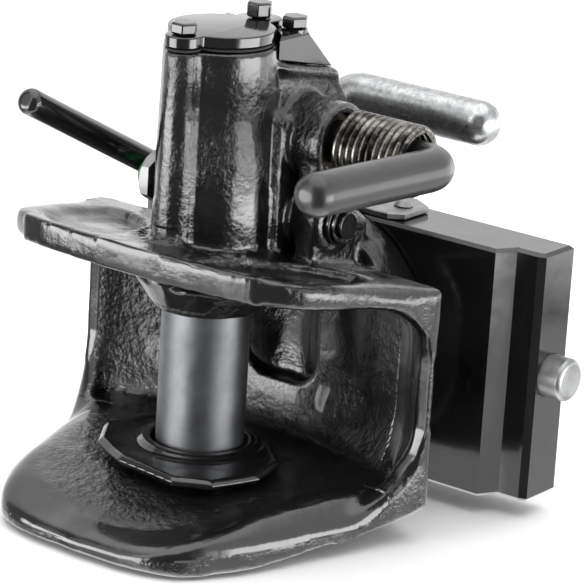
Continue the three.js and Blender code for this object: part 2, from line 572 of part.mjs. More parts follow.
const rivet = (x) => {
  const seat = SWIVEL_Z + PLATE_HALF_H + 3.6;
  return join(
    cone('z', 4.6, 2.6, [0, 0], seat, seat + 2.4, 20),
    cylinder('z', 2.3, [0, 0], seat - 9, seat + 0.5, 12)).translate([HANDLE_X + x, HANDLE_Y, 0]);
};

// ---------- swivel hardware ----------
const castleNut = () => {
  const seat = PLATE_BACK + 8.6;
  const hex = extrude(hexagon(54), 20, 1.5);
  const body = cut(solid(hex.rotateX(-Math.PI / 2).translate(0, seat, SWIVEL_Z)),
    cylinder('y', 18, [0, SWIVEL_Z], 60, 160, 32));
  const slots = [0, 60, 120].map((deg) => {
    const slot = box(-40, 40, seat + 14, seat + 21, -3, 3).rotate([0, deg, 0]);
    return slot.translate([0, 0, SWIVEL_Z]);
  });
  return cut(body, ...slots);
};

const parts = [
  ['jaw_casting', jawCasting(), 'enamel'],
  ['upper_pin_bush', upperBush(), 'bronze'],
  ['lower_pin_bush', lowerBush(), 'bronze'],
  ['wear_plate', wearPlate(), 'enamel'],
  ['cover_gasket', coverSlab(-0.4, TOWER_TOP + 0.3, TOWER_TOP + 1.2), 'gasket'],
  ['top_cover', coverSlab(0, TOWER_TOP + 1.5, TOWER_TOP + 1.5 + COVER_T), 'enamel'],
  ['cover_bolt_front', bolt(0, -BOLT_Y, TOWER_TOP + 1.8 + COVER_T, 20), 'enamel'],
  ['cover_bolt_rear', bolt(0, BOLT_Y, TOWER_TOP + 1.8 + COVER_T, 18, 6.5), 'enamel'],
  ['rear_cover', rearCover(), 'enamel'],
  ['rear_cover_bolt', bolt(COVER_BOLT_X, COVER_BOLT_Y, CAP_TOP + 1 + GAP, 27), 'enamel'],
  ['coupling_pin', couplingPin(), 'steel'],
  ['release_lever', releaseLever(), 'enamel'],
  ['release_bush_right', ring('x', 12, SHAFT_R + GAP, [SHAFT_Y, SHAFT_Z], 13.8, BOSS_END - 4, 28), 'bronze'],
  ['release_bush_left', ring('x', 12, SHAFT_R + GAP, [SHAFT_Y, SHAFT_Z], -21, -13.8, 28), 'bronze'],
  ['release_end_cap', cylinder('x', 12, [SHAFT_Y, SHAFT_Z], -23.6, -21.4, 28), 'enamel'],
  ['lift_arm', liftArm(), 'steel'],
  ['lift_arm_pin', cylinder('z', 2.3, [0, SHAFT_Y], SHAFT_Z - 12, SHAFT_Z + 12, 12), 'steel'],
  ['torsion_spring', torsionSpring(), 'spring'],
  ['hand_lever', handLever(), 'enamel'],
  ['latch_shaft', latchShaft(), 'enamel'],
  ['latch_pawl', latchPawl(), 'steel'],
  ['latch_washer', ring('x', 9.5, LATCH_R + GAP, [LATCH_Y, LATCH_Z], 45.3, 47.3, 24), 'enamel'],
  ['latch_circlip', ring('x', 8.2, LATCH_R - 0.7, [LATCH_Y, LATCH_Z], 47.8, 49, 24), 'spring'],
  ['indicator_bush', indicatorBush(), 'zinc'],
  ['indicator_pin', indicatorPin(), 'green'],
  ['thrust_washer', ring('y', 33, 18, [0, SWIVEL_Z], PLATE_BACK + 4.3, PLATE_BACK + 8.3, 36), 'zinc'],
  ['castle_nut', castleNut(), 'zinc'],
  ['split_pin', cylinder('x', 2, [PLATE_BACK + 27.5, SWIVEL_Z], -26, 26, 12), 'zinc'],
  ['slide_plate', slidePlate(), 'enamel'],
  ['swivel_bush', ring('y', 27.7, 24.3, [0, SWIVEL_Z], PLATE_FRONT + 4.3, PLATE_BACK - 0.2, 40), 'bronze'],
  ['brake_ring', ring('y', 35.5, 28.3, [0, SWIVEL_Z], PLATE_FRONT - 0.2, PLATE_FRONT + 3.7, 36), 'lining'],
  ['slide_cover', slideCover(), 'enamel'],
  ['handle_bracket', bracket(), 'zinc'],
  ['bracket_rivet_right', rivet(RIVET_X), 'zinc'],
  ['bracket_rivet_left', rivet(-RIVET_X), 'zinc'],
  ['locking_pin_right', lockingPin(1), 'zinc'],
  ['locking_pin_left', lockingPin(-1), 'zinc'],
  ['pull_strap_right', pullStrap(1), 'steel'],
  ['pull_strap_left', pullStrap(-1), 'steel'],
  ['slide_handle', handle(), 'zinc'],
  ['handle_crank', handleCrank(), 'steel'],
];
parts.forEach(([name, manifold, look]) => add(name, manifold, look));

export default hitch;
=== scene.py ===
# Looks for the trailer hitch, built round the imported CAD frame. Everything is in metres in the part's
# own frame: +Y points to the tractor and +Z is up. Places on the head are given in millimetres about
# the coupling pin's middle and turned into metres by at().
import json
import math

import bmesh
import bpy
import numpy as np
from mathutils import Matrix, Vector, noise


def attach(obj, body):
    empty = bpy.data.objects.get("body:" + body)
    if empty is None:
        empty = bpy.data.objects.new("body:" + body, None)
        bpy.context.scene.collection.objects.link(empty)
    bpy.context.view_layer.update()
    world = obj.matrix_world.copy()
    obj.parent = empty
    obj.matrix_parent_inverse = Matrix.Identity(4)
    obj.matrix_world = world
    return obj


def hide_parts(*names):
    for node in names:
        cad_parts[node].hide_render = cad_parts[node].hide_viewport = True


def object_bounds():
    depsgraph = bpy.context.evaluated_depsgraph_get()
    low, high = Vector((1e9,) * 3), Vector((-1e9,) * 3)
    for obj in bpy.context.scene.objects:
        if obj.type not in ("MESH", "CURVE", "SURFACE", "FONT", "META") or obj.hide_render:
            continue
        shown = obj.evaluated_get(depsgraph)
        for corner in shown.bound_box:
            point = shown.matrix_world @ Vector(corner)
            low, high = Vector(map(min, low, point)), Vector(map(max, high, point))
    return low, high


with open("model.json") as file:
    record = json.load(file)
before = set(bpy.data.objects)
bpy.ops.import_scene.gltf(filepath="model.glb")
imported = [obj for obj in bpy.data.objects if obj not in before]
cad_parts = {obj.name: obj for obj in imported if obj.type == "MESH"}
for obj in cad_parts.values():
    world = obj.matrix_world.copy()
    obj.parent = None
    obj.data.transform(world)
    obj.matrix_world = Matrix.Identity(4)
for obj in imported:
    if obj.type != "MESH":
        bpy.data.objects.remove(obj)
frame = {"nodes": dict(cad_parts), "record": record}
CAD_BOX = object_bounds()
NODES = frame["nodes"]
BODY_OF = {n: body for body, ns in frame["record"]["behaviour"]["bodies"].items() for n in ns}
SLOT_OF = {s["node"]: s["material_slot"] for s in frame["record"]["subparts"]}

MM = 0.001
PIN_Y, PIN_Z = -113.4, -3.8       # coupling pin's middle in the part's frame, in millimetres
SHAFT_Y, SHAFT_Z = 30, 106        # release shaft's axis, which runs along X
HUB_X, HUB_Y, HUB_Z = -42, 28, 72         # middle of the hand lever's hub


def at(x, y, z):
    """A point given in millimetres about the coupling pin's middle, in the part's frame."""
    return Vector((x, y + PIN_Y, z + PIN_Z)) * MM


# ---------- materials ----------
class Nodes:
    """A small helper that writes a node tree in a few words."""

    def __init__(self, name):
        self.mat = bpy.data.materials.new(name)
        self.mat.use_nodes = True
        self.tree = self.mat.node_tree
        self.shader = self.tree.nodes["Principled BSDF"]
        self.coords = self.add("ShaderNodeTexCoord").outputs["Object"]

    def add(self, kind, **props):
        node = self.tree.nodes.new(kind)
        for key, value in props.items():
            setattr(node, key, value)
        return node

    def link(self, a, b):
        self.tree.links.new(a, b)

    def noise(self, scale, detail=3.0, rough=0.55, stretch=None):
        node = self.add("ShaderNodeTexNoise")
        node.inputs["Scale"].default_value = scale
        node.inputs["Detail"].default_value = detail
        node.inputs["Roughness"].default_value = rough
        vector = self.coords
        if stretch:
            mapping = self.add("ShaderNodeMapping")
            mapping.inputs["Scale"].default_value = stretch
            self.link(self.coords, mapping.inputs["Vector"])
            vector = mapping.outputs["Vector"]
        self.link(vector, node.inputs["Vector"])
        return node.outputs["Fac"]

    def voronoi(self, scale, output="Distance"):
        node = self.add("ShaderNodeTexVoronoi")
        node.inputs["Scale"].default_value = scale
        self.link(self.coords, node.inputs["Vector"])
        return node.outputs[output]

    def ramp(self, source, stops):
        """Colours or greys at positions along a value from 0 to 1."""
        node = self.add("ShaderNodeValToRGB")
        while len(node.color_ramp.elements) < len(stops):
            node.color_ramp.elements.new(0.5)
        for element, (where, colour) in zip(node.color_ramp.elements, stops):
            element.position = where
            element.color = (*colour, 1) if hasattr(colour, "__len__") else (colour, colour, colour, 1)
        self.link(source, node.inputs["Fac"])
        return node.outputs["Color"]

    def math(self, operation, a, b):
        node = self.add("ShaderNodeMath", operation=operation)
        for socket, value in zip(node.inputs, (a, b)):
            if isinstance(value, (int, float)):
                socket.default_value = value
            else:
                self.link(value, socket)
        return node.outputs["Value"]

    def attribute(self, name):
        return self.add("ShaderNodeAttribute", attribute_name=name).outputs["Fac"]

    def bump(self, height, distance, strength=1.0, below=None):
        node = self.add("ShaderNodeBump")
        node.inputs["Distance"].default_value = distance
        node.inputs["Strength"].default_value = strength
        self.link(height, node.inputs["Height"])
        if below is not None:
            self.link(below, node.inputs["Normal"])
        return node.outputs["Normal"]

    def set(self, **values):
        for key, value in values.items():
            self.shader.inputs[key.replace("_", " ")].default_value = value

    def feed(self, **sources):
        for key, source in sources.items():
            self.link(source, self.shader.inputs[key.replace("_", " ")])
        return self.mat


def cast_enamel():
    """Gloss black enamel over a sand casting: orange peel and grit where the casting is rough."""
    n = Nodes("cast_enamel")
    rough_here = n.attribute("grit")
    grit = n.noise(620, 4.0, 0.6)
    peel = n.noise(260, 2.0, 0.5)
    pits = n.ramp(n.voronoi(420), [(0.0, 0.0), (0.35, 1.0)])
    height = n.math("ADD", n.math("MULTIPLY", grit, 1.1), n.math("MULTIPLY", peel, 2.0))
    height = n.math("ADD", height, n.math("MULTIPLY", pits, 0.25))
    height = n.math("MULTIPLY", height, rough_here)
    streaks = n.math("MULTIPLY", n.noise(210, 3.0, 0.6, stretch=(1.0, 1.0, 0.07)), n.attribute("streaks"))
    fine = n.bump(streaks, 0.00035, 0.7, n.bump(n.noise(90, 3.0), 0.00025, 0.6))
    n.feed(
        Base_Color=n.ramp(n.noise(60, 5.0), [(0.35, (0.0045, 0.0045, 0.005)), (0.75, (0.011, 0.011, 0.012))]),
        Roughness=n.ramp(n.noise(35, 4.0), [(0.3, 0.10), (0.8, 0.26)]),
        Normal=n.bump(height, 0.0006, 0.95, fine),
    )
    n.set(IOR=1.5, Coat_Weight=0.35, Coat_Roughness=0.06)
    return n.mat


def smooth_enamel():
    """Gloss black enamel over flat and turned parts, more satin on the release lever."""
    n = Nodes("smooth_enamel")
    runs = n.noise(26, 3.0, 0.5)
    peel = n.noise(320, 2.0, 0.5)
    n.feed(
        Base_Color=n.ramp(n.noise(40, 4.0), [(0.3, (0.005, 0.005, 0.0055)), (0.8, (0.009, 0.009, 0.010))]),
        Roughness=n.math("ADD", n.ramp(n.noise(50, 4.0), [(0.3, 0.10), (0.8, 0.24)]),
                         n.math("MULTIPLY", n.attribute("satin"), 0.24)),
        Normal=n.bump(n.math("ADD", runs, n.math("MULTIPLY", peel, 0.05)), 0.0010, 0.3),
    )
    n.set(IOR=1.5, Coat_Weight=0.3, Coat_Roughness=0.05)
    return n.mat


def pin_steel():
    """The coupling pin: greyed steel with faint lines along it."""
    n = Nodes("pin_steel")
    blotches = n.noise(70, 6.0, 0.62)
    lines = n.noise(150, 3.0, 0.6, stretch=(1.0, 1.0, 0.06))
    n.feed(
        Base_Color=n.ramp(blotches, [(0.3, (0.115, 0.118, 0.124)), (0.7, (0.18, 0.184, 0.192))]),
        Roughness=n.ramp(n.noise(90, 5.0), [(0.3, 0.40), (0.75, 0.55)]),
        Normal=n.bump(lines, 0.0002, 0.35),
    )
    n.set(Metallic=1.0, IOR=1.5)
    return n.mat


def inner_steel():
    n = Nodes("inner_steel")
    n.feed(
        Base_Color=n.ramp(n.noise(120, 5.0), [(0.3, (0.16, 0.155, 0.15)), (0.7, (0.34, 0.335, 0.32))]),
        Roughness=n.ramp(n.noise(160, 4.0), [(0.3, 0.35), (0.75, 0.6)]),
        Normal=n.bump(n.noise(500, 3.0), 0.0002, 0.4),
    )
    n.set(Metallic=1.0)
    return n.mat


def spring_steel():
    """Dark wire, worn bright in patches."""
    n = Nodes("spring_steel")
    worn = n.noise(140, 5.0, 0.65)
    n.feed(
        Base_Color=n.ramp(worn, [(0.42, (0.020, 0.018, 0.017)), (0.68, (0.26, 0.245, 0.225))]),
        Roughness=n.ramp(n.noise(200, 4.0), [(0.3, 0.16), (0.75, 0.34)]),
        Normal=n.bump(n.noise(380, 4.0), 0.0003, 0.4),
    )
    n.set(Metallic=0.9)
    return n.mat


def zinc():
    """Cloudy zinc plating, darkened on the indicator bush as painted shade that tones down its reflection of
    the left softbox.
    """
    n = Nodes("zinc")
    clouds = n.noise(85, 5.0, 0.6)
    tones = [(0.3, (0.18, 0.185, 0.185)), (0.5, (0.27, 0.275, 0.27)), (0.75, (0.36, 0.365, 0.36))]
    pale = n.ramp(clouds, tones)
    greyed = n.add("ShaderNodeVectorMath", operation="SCALE")
    n.link(pale, greyed.inputs[0])
    n.link(n.math("SUBTRACT", 1.0, n.math("MULTIPLY", n.attribute("painted_shade"), 0.3)), greyed.inputs["Scale"])
    n.feed(
        Base_Color=greyed.outputs["Vector"],
        Roughness=n.ramp(n.noise(120, 5.0), [(0.3, 0.36), (0.75, 0.50)]),
        Normal=n.bump(n.noise(420, 4.0), 0.0002, 0.35),
    )
    n.set(Metallic=0.95)
    return n.mat


def galvanised():
    """Hot-dipped zinc with its spangle."""
    n = Nodes("galvanised")
    spangle = n.voronoi(420, "Color")
    grains = n.noise(520, 6.0, 0.7)
    mixed = n.math("ADD", n.math("MULTIPLY", spangle, 0.22), n.math("MULTIPLY", grains, 0.78))
    tones = [(0.25, (0.20, 0.205, 0.21)), (0.5, (0.36, 0.365, 0.37)), (0.75, (0.54, 0.545, 0.545))]
    n.feed(
        Base_Color=n.ramp(mixed, tones),
        Roughness=n.ramp(n.noise(180, 5.0), [(0.3, 0.20), (0.75, 0.40)]),
        Normal=n.bump(grains, 0.00012, 0.6),
    )
    n.set(Metallic=0.95)
    return n.mat


def green_cap():
    n = Nodes("green_cap")
    n.feed(
        Base_Color=n.ramp(n.noise(150, 3.0), [(0.3, (0.008, 0.19, 0.05)), (0.8, (0.014, 0.28, 0.085))]),
        Roughness=n.ramp(n.noise(200, 3.0), [(0.3, 0.30), (0.8, 0.42)]),
        Normal=n.bump(n.noise(600, 2.0), 0.0001, 0.4),
    )
    return n.mat


def bronze():
    n = Nodes("bronze")
    n.feed(
        Base_Color=n.ramp(n.noise(120, 4.0), [(0.3, (0.030, 0.022, 0.014)), (0.8, (0.085, 0.06, 0.032))]),
        Roughness=n.ramp(n.noise(160, 4.0), [(0.3, 0.32), (0.8, 0.5)]),
        Normal=n.bump(n.noise(500, 3.0), 0.0001, 0.4),
    )
    n.set(Metallic=1.0)
    return n.mat


def dull(name, dark, pale, scale):
    """Matt sheet: gasket and brake lining."""
    n = Nodes(name)
    n.feed(
        Base_Color=n.ramp(n.noise(scale, 5.0, 0.65), [(0.3, dark), (0.75, pale)]),
        Roughness=n.ramp(n.noise(scale / 2), [(0.3, 0.7), (0.8, 0.95)]),
        Normal=n.bump(n.noise(scale * 2, 4.0), 0.0002, 0.6),
    )
    return n.mat


MATERIALS = {
    "cast_enamel": cast_enamel(),
    "smooth_enamel": smooth_enamel(),
    "pin_steel": pin_steel(),
    "inner_steel": inner_steel(),
    "spring_steel": spring_steel(),
    "zinc": zinc(),
    "galvanised": galvanised(),
    "green_cap": green_cap(),
    "bronze": bronze(),
    "gasket": dull("gasket", (0.012, 0.012, 0.012), (0.03, 0.03, 0.028), 400),
    "brake_lining": dull("brake_lining", (0.07, 0.05, 0.04), (0.15, 0.12, 0.09), 500),
}


# ---------- pieces ----------
def dress(obj, material):
    obj.data.materials.clear()
    obj.data.materials.append(MATERIALS[material])


def put_in(obj, node):
    """The piece stands for a CAD node: same body, the material of the node's slot, and the node hidden."""
    dress(obj, SLOT_OF[node])
    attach(obj, BODY_OF[node])
    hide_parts(node)
    return obj


def object_from(name, mesh):
    obj = bpy.data.objects.new(name, mesh)
    bpy.context.scene.collection.objects.link(obj)
    return obj


def applied(obj):
    """The object's mesh with its modifiers applied, in place of its own."""
    bpy.context.view_layer.update()
    graph = bpy.context.evaluated_depsgraph_get()
    mesh = bpy.data.meshes.new_from_object(obj.evaluated_get(graph))
    obj.modifiers.clear()
    obj.data = mesh
    return obj


def welded_copy(node, flat=math.radians(0.6)):
    """A copy of a CAD mesh with its triangles joined into faces."""
    mesh = bpy.data.meshes.new(node + "_skin")
    bm = bmesh.new()
    bm.from_mesh(NODES[node].data)
    bmesh.ops.remove_doubles(bm, verts=bm.verts, dist=2e-6)
    bmesh.ops.dissolve_limit(bm, angle_limit=flat, verts=bm.verts, edges=bm.edges)
    bmesh.ops.recalc_face_normals(bm, faces=bm.faces)
    bm.to_mesh(mesh)
    bm.free()
    return mesh


def smooth_by_angle(mesh, degrees):
    mesh.polygons.foreach_set("use_smooth", [True] * len(mesh.polygons))
    mesh.set_sharp_from_angle(angle=math.radians(degrees))


def eased(node, width, sharp, crisp):
    """The CAD node again with its edges rounded and its curved faces smooth."""
    mesh = welded_copy(node)
    obj = object_from(node + "_skin", mesh)
    smooth_by_angle(mesh, sharp)
    bevel = obj.modifiers.new("edges", "BEVEL")
    bevel.width = width * MM
    bevel.segments = 3
    bevel.limit_method = "ANGLE"
    bevel.angle_limit = math.radians(sharp)
    bevel.use_clamp_overlap = True
    bevel.harden_normals = crisp
    applied(obj)
    return put_in(obj, node)


def skinned(bm, rings):
    """Faces between closed rings of the same count, and a face over each end."""
    count = len(rings[0])
    for r0, r1 in zip(rings, rings[1:]):
        for k in range(count):
            bm.faces.new((r0[k], r0[(k + 1) % count], r1[(k + 1) % count], r1[k]))
    bm.faces.new(list(reversed(rings[0])))
    bm.faces.new(rings[-1])
    bmesh.ops.recalc_face_normals(bm, faces=bm.faces)


def swept(path, radii, sides=32):
    """A round bar along a list of points in metres, with a radius at each, closed at both ends."""
    bm = bmesh.new()
    rings = []
    side = None
    for i, p in enumerate(path):
        ahead = (path[min(i + 1, len(path) - 1)] - path[max(i - 1, 0)]).normalized()
        if side is None:
            side = ahead.orthogonal().normalized()
        side = (side - ahead * side.dot(ahead)).normalized()
        over = ahead.cross(side)
        rings.append([bm.verts.new(p + (side * math.cos(a) + over * math.sin(a)) * radii[i])
                      for a in (2 * math.pi * k / sides for k in range(sides))])
    skinned(bm, rings)
    return bm


def mesh_of(name, bm, sharp=40):
    mesh = bpy.data.meshes.new(name)
    bm.to_mesh(mesh)
    bm.free()
    smooth_by_angle(mesh, sharp)
    return mesh


def paint(mesh, name, values):
    """A value at each vertex, for the materials."""
    layer = mesh.attributes.new(name, "FLOAT", "POINT")
    layer.data.foreach_set("value", np.asarray(values, dtype=np.float32))


def arc(a, corner, b, steps):
    """Points of a quadratic bend from a to b round a corner."""
    return [a.lerp(corner, t).lerp(corner.lerp(b, t), t) for t in (i / steps for i in range(steps + 1))]


def dome(end, ahead, radius, flat=0.0, steps=8):
    """Points and radii of a round end: a half ball, or with flat an edge radius round a flat disc."""
    edge, smallest = radius - flat, 0.04 * MM
    points, radii = [], []
    for i in range(1, steps + 1):
        a = math.pi / 2 * i / steps
        points.append(end + ahead * edge * math.sin(a))
        radii.append(max(flat + edge * math.cos(a), smallest))
    return points, radii


def remeshed(node, voxel, melting):
    """The CAD node as an even skin of faces about voxel millimetres wide, its edges melted."""
    obj = object_from(node + "_skin", welded_copy(node))
    remesh = obj.modifiers.new("remesh", "REMESH")
    remesh.mode = "VOXEL"
    remesh.voxel_size = voxel * MM
    melt = obj.modifiers.new("melt", "SMOOTH")
    melt.factor = 0.5
    melt.iterations = melting
    return applied(obj)


# ---------- casting ----------
def casting():
    """The cast head: an even skin, its rims blended into the lips, then roughened like sand casting."""
    voxel, melting, flowing = ((1.2, 9, 60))
    obj = remeshed("jaw_casting", voxel, melting)
    _, normals, local = surface(obj.data)
    blend = obj.vertex_groups.new(name="blend")
    blend.add(np.flatnonzero(blended(local, normals)).tolist(), 1.0, "REPLACE")
    flow = obj.modifiers.new("flow", "SMOOTH")
    flow.vertex_group = "blend"
    flow.factor = 0.5
    flow.iterations = flowing
    applied(obj)
    mesh = obj.data
    co, normals, local = surface(mesh)
    grit = grit_amount(local, normals)
    waves = noise_at(local, 0.055)
    lumps = noise_at(local, 0.19, (9.1, 3.3, 7.7))
    bead = base_bead(local) * (0.4 + 2.0 * np.abs(lumps)) + joint_bead(local)
    shift = (0.25 * waves + 0.16 * lumps * grit + bead) * MM
    co += normals * shift[:, None]
    mesh.vertices.foreach_set("co", co.ravel())
    paint(mesh, "grit", grit)
    paint(mesh, "streaks", lip_front(local, normals))
    mesh.polygons.foreach_set("use_smooth", [True] * len(mesh.polygons))
    mesh.update()
    return put_in(obj, "jaw_casting")


def surface(mesh):
    """Vertex places in metres, normals, and places in millimetres about the pin's middle."""
    co = np.zeros(len(mesh.vertices) * 3)
    mesh.vertices.foreach_get("co", co)
    normals = np.zeros(len(mesh.vertices) * 3)
    mesh.vertices.foreach_get("normal", normals)
    co, normals = co.reshape(-1, 3), normals.reshape(-1, 3)
    return co, normals, co / MM - np.array([0, PIN_Y, PIN_Z])


def noise_at(points, scale, offset=(0, 0, 0)):
    """Smooth noise, from about -1 to 1, at each point."""
    return np.array([noise.noise(Vector(p) * scale + Vector(offset)) for p in points])


def between(value, low, high):
    return (value > low) & (value < high)


def blended(p, n):
    """True where the wall rims flow into the lips, on the inside of the mouth and on the lower lip's rim."""
    x, y, z = p.T
    side = np.abs(x)
    rim_feet = (side > 54) & between(y, -34, 33) & (z < -22) & (n[:, 2] > -0.6)
    rim_tops = (side > 62) & (y < 24) & between(z, 38, 80)
    facing_in = -(n[:, 0] * np.sign(x) * np.minimum(side / 40, 1) + n[:, 1]) > 0.25
    mouth = (side < 88) & between(y, 6, 56) & between(z, -38, 46) & (n[:, 2] > -0.9)
    recess = (side < 24) & (y > 45) & between(z, -20, 38)
    lip_rim = (lip_reach(x, y) > 0.55) & (y < -4) & (z < -30)
    return rim_feet | rim_tops | (mouth & facing_in & ~recess) | lip_rim


def base_bead(p):
    """The lumpy ridge of enamel where the tower stands on the lip, in millimetres."""
    x, y, z = p.T
    out = np.hypot(x, np.where(y < 0, y * 0.86, y))
    foot = 59.3 - 0.18 * y
    ring, wide, tall, thick, back = 28.5, 3.0, 4.0, 1.2, 22
    return thick * np.exp(-((out - ring) / wide) ** 2 - ((z - foot) / tall) ** 2) * (y < back)


def joint_bead(p):
    """The thick rounded rim under the rear cover's joint, in millimetres."""
    x, y, z = p.T
    joint = 138.2 - 0.203 * (y - 15.5)
    below, tall, thick = 2.6, 2.0, 1.1
    rim = thick * np.exp(-((z - joint + below) / tall) ** 2)
    return rim * soft_step(np.abs(x), 20, 22) * soft_step(y, 11, 16)


def soft_step(value, low, high):
    """0 below low, 1 above high, and smooth between them."""
    t = np.clip((value - low) / (high - low), 0, 1)
    return t * t * (3 - 2 * t)


def grit_amount(p, n):
    """How rough the casting is at each point, from 0 to 1."""
    x, y, z = p.T
    patches = noise_at(p, 0.045, (2.2, 8.1, 4.4))
    tower = (np.hypot(x, y) < 28) & (z > 62)
    rough_belt = soft_step(z, 84, 98) * (1 - soft_step(z, 116, 126))
    patches = np.where(tower, -0.3 + 0.6 * rough_belt + 0.6 * patches, patches)
    housing = soft_step(x, 20, 22) * soft_step(y, 12, 16) * soft_step(z, 112, 118)
    grit = 0.5 + 0.9 * patches + 0.5 * housing
    rim_front = soft_step(-n[:, 1], 0.7, 0.9) * (np.abs(x) > 70) * (z < 62)
    grit = grit * (1 - 0.85 * np.maximum(lip_front(p, n), rim_front))
    on_lip = (z < -28) * soft_step(n[:, 2], 0.1, 0.3) * (y < 20)
    near_pin = 1 - soft_step(lip_reach(x, y), 0.50, 0.66)
    grit = np.where(on_lip > 0, 0.06 + 0.85 * near_pin, grit)
    grit = np.maximum(grit, np.clip(base_bead(p) * 1.4, 0, 0.9))
    left_wall = (x < -50) & between(y, 0, 58) & between(z, -34, 46) & (n[:, 0] > 0.2)
    grit = np.where(left_wall, 0.95, grit)
    return np.clip(grit, 0.04, 1.0)


def lip_reach(x, y):
    """0 at the pin, about 1 at the outer edge of the lower lip."""
    half_width, front, power = 78, 84, 2.4
    return np.abs(x / half_width) ** power + np.abs(np.minimum(y, 0) / front) ** power


def lip_front(p, n):
    """1 on the sheared-looking front of the upper lip, 0 elsewhere."""
    x, y, z = p.T
    return soft_step(-n[:, 1], 0.5, 0.8) * between(z, 35, 72) * (y < -20)


# ---------- bars, spring and handle ----------
def release_lever():
    """The bent bar: the release shaft, a bend and the arm in front, with a round end."""
    rise = math.radians(3)
    inner_end, plane, length, bend, r = -21, 94, 86, 11, 9 * MM
    enter = at(plane - bend, SHAFT_Y, SHAFT_Z)
    corner = at(plane, SHAFT_Y, SHAFT_Z)
    end = at(plane, SHAFT_Y - length * math.cos(rise), SHAFT_Z + length * math.sin(rise))
    leave = corner.lerp(end, bend / length)
    ahead = (end - leave).normalized()
    path = [at(inner_end, SHAFT_Y, SHAFT_Z)] + arc(enter, corner, leave, 12)
    steps = 10
    path += [leave.lerp(end, i / steps) for i in range(1, steps + 1)]
    radii = [r] * len(path)
    tip, tip_r = dome(end, ahead, r, flat=1.5 * MM)
    bm = swept(path + tip, radii + tip_r, 40)
    mesh = mesh_of("release_lever_skin", bm, 50)
    paint(mesh, "satin", [1.0] * len(mesh.vertices))
    return put_in(object_from("release_lever_skin", mesh), "release_lever")


def torsion_spring():
    """Close turns of round wire on the release shaft."""
    turns, wire, coil, start, end, per_turn = 11, 1.6, 13.6, 47.3, 83.1, 48
    count = turns * per_turn
    path = []
    for i in range(count + 1):
        a = 2 * math.pi * i / per_turn
        x = start + (end - start) * i / count
        path.append(at(x, SHAFT_Y + coil * math.sin(a), SHAFT_Z + coil * math.cos(a)))
    mesh = mesh_of("torsion_spring_skin", swept(path, [wire * MM] * len(path), 16), 50)
    return put_in(object_from("torsion_spring_skin", mesh), "torsion_spring")


def hand_lever():
    """The straight rod with its round end, growing out of the hub that the shaft goes through."""
    rise, above = math.radians(26.7), 1.8         # the rod's slope, and its height over the hub's middle
    near, far = 6.4, 109.4

    def along(s):
        """The point s millimetres out along the rod's axis."""
        return at(HUB_X, HUB_Y - s * math.cos(rise), HUB_Z + above + s * math.sin(rise))

    start, end, r, steps = along(near), along(far), 5.7 * MM, 8
    ahead = (end - start).normalized()
    path = [start.lerp(end, i / steps) for i in range(steps + 1)]
    tip, tip_r = dome(end, ahead, r, flat=2.0 * MM)
    bm = swept(path + tip, [r] * len(path) + tip_r, 32)
    outer, inner, half, ease, count = 9.0, 6.3, 5.0, 0.8, 48
    edge = [(ease, 0), (0.3 * ease, 0.3 * ease), (0, ease)]     # in from the hub's outer corner
    profile = [(inner, -half)] + [(outer - q, -half + x) for q, x in edge]
    profile += [(outer - q, half - x) for q, x in reversed(edge)] + [(inner, half)]
    rings = []
    for i in range(count):
        a = 2 * math.pi * i / count
        ring = [at(HUB_X + x, HUB_Y + q * math.cos(a), HUB_Z + q * math.sin(a)) for q, x in profile]
        rings.append([bm.verts.new(p) for p in ring])
    for i in range(count):
        for k in range(len(profile)):
            j, m = (i + 1) % count, (k + 1) % len(profile)
            bm.faces.new((rings[i][k], rings[j][k], rings[j][m], rings[i][m]))
    bmesh.ops.recalc_face_normals(bm, faces=bm.faces)
    return put_in(object_from("hand_lever_skin", mesh_of("hand_lever_skin", bm, 40)), "hand_lever")


def slide_handle():
    """The galvanised bar with its bend and its rounded, bright end."""
    r, x, y, z, bend, foot_z, reach = 9.8, -8, 97.4, 107.8, 15, 54.3, 84
    foot = at(x, y, foot_z)
    enter = at(x, y, z - bend)
    corner = at(x, y, z)
    leave = at(x + bend, y, z)
    end = at(x + reach - r, y, z)
    steps = 6
    path = [foot.lerp(enter, i / steps) for i in range(steps)] + arc(enter, corner, leave, 12)
    path += [leave.lerp(end, i / steps) for i in range(1, steps + 1)]
    radii = [r * MM] * len(path)
    tip, tip_r = dome(end, Vector((1, 0, 0)), r * MM, flat=1.0 * MM, steps=10)
    mesh = mesh_of("slide_handle_skin", swept(path + tip, radii + tip_r, 40), 50)
    return put_in(object_from("slide_handle_skin", mesh), "slide_handle")


def top_cover():
    """The tower's lid: a disc with two ears, its edges eased."""
    radius, low, high, ease, count = 22.5, 147.5, 152.5, 0.7, 360
    ears = [(-25, 7.8), (25, 9.8)]        # how far from the middle, and radius
    plan = []
    for i in range(count):
        a = 2 * math.pi * i / count
        dx, dy = math.cos(a), math.sin(a)
        out = radius
        for where, r in ears:
            under = r * r - (where * dx) ** 2
            if under > 0 and where * dy > 0:
                out = max(out, where * dy + math.sqrt(under))
        plan.append(Vector((out * dx, out * dy)))
    for _ in range(2):
        plan = [(plan[i - 1] + plan[i] * 2 + plan[(i + 1) % count]) / 4 for i in range(count)]
    inward = []
    for i in range(count):
        along = (plan[(i + 1) % count] - plan[i - 1]).normalized()
        inward.append(Vector((-along.y, along.x)))
    levels = [(ease, low), (0, low + ease)]       # how far in from the plan, and height
    steps = 4
    for i in range(steps + 1):
        b = i * math.pi / (2 * steps)
        levels.append((ease * (1 - math.cos(b)), high - ease + ease * math.sin(b)))
    bm = bmesh.new()
    rings = [[bm.verts.new(at(*(p + n * inset), z)) for p, n in zip(plan, inward)] for inset, z in levels]
    skinned(bm, rings)
    return put_in(object_from("top_cover_skin", mesh_of("top_cover_skin", bm, 40)), "top_cover")


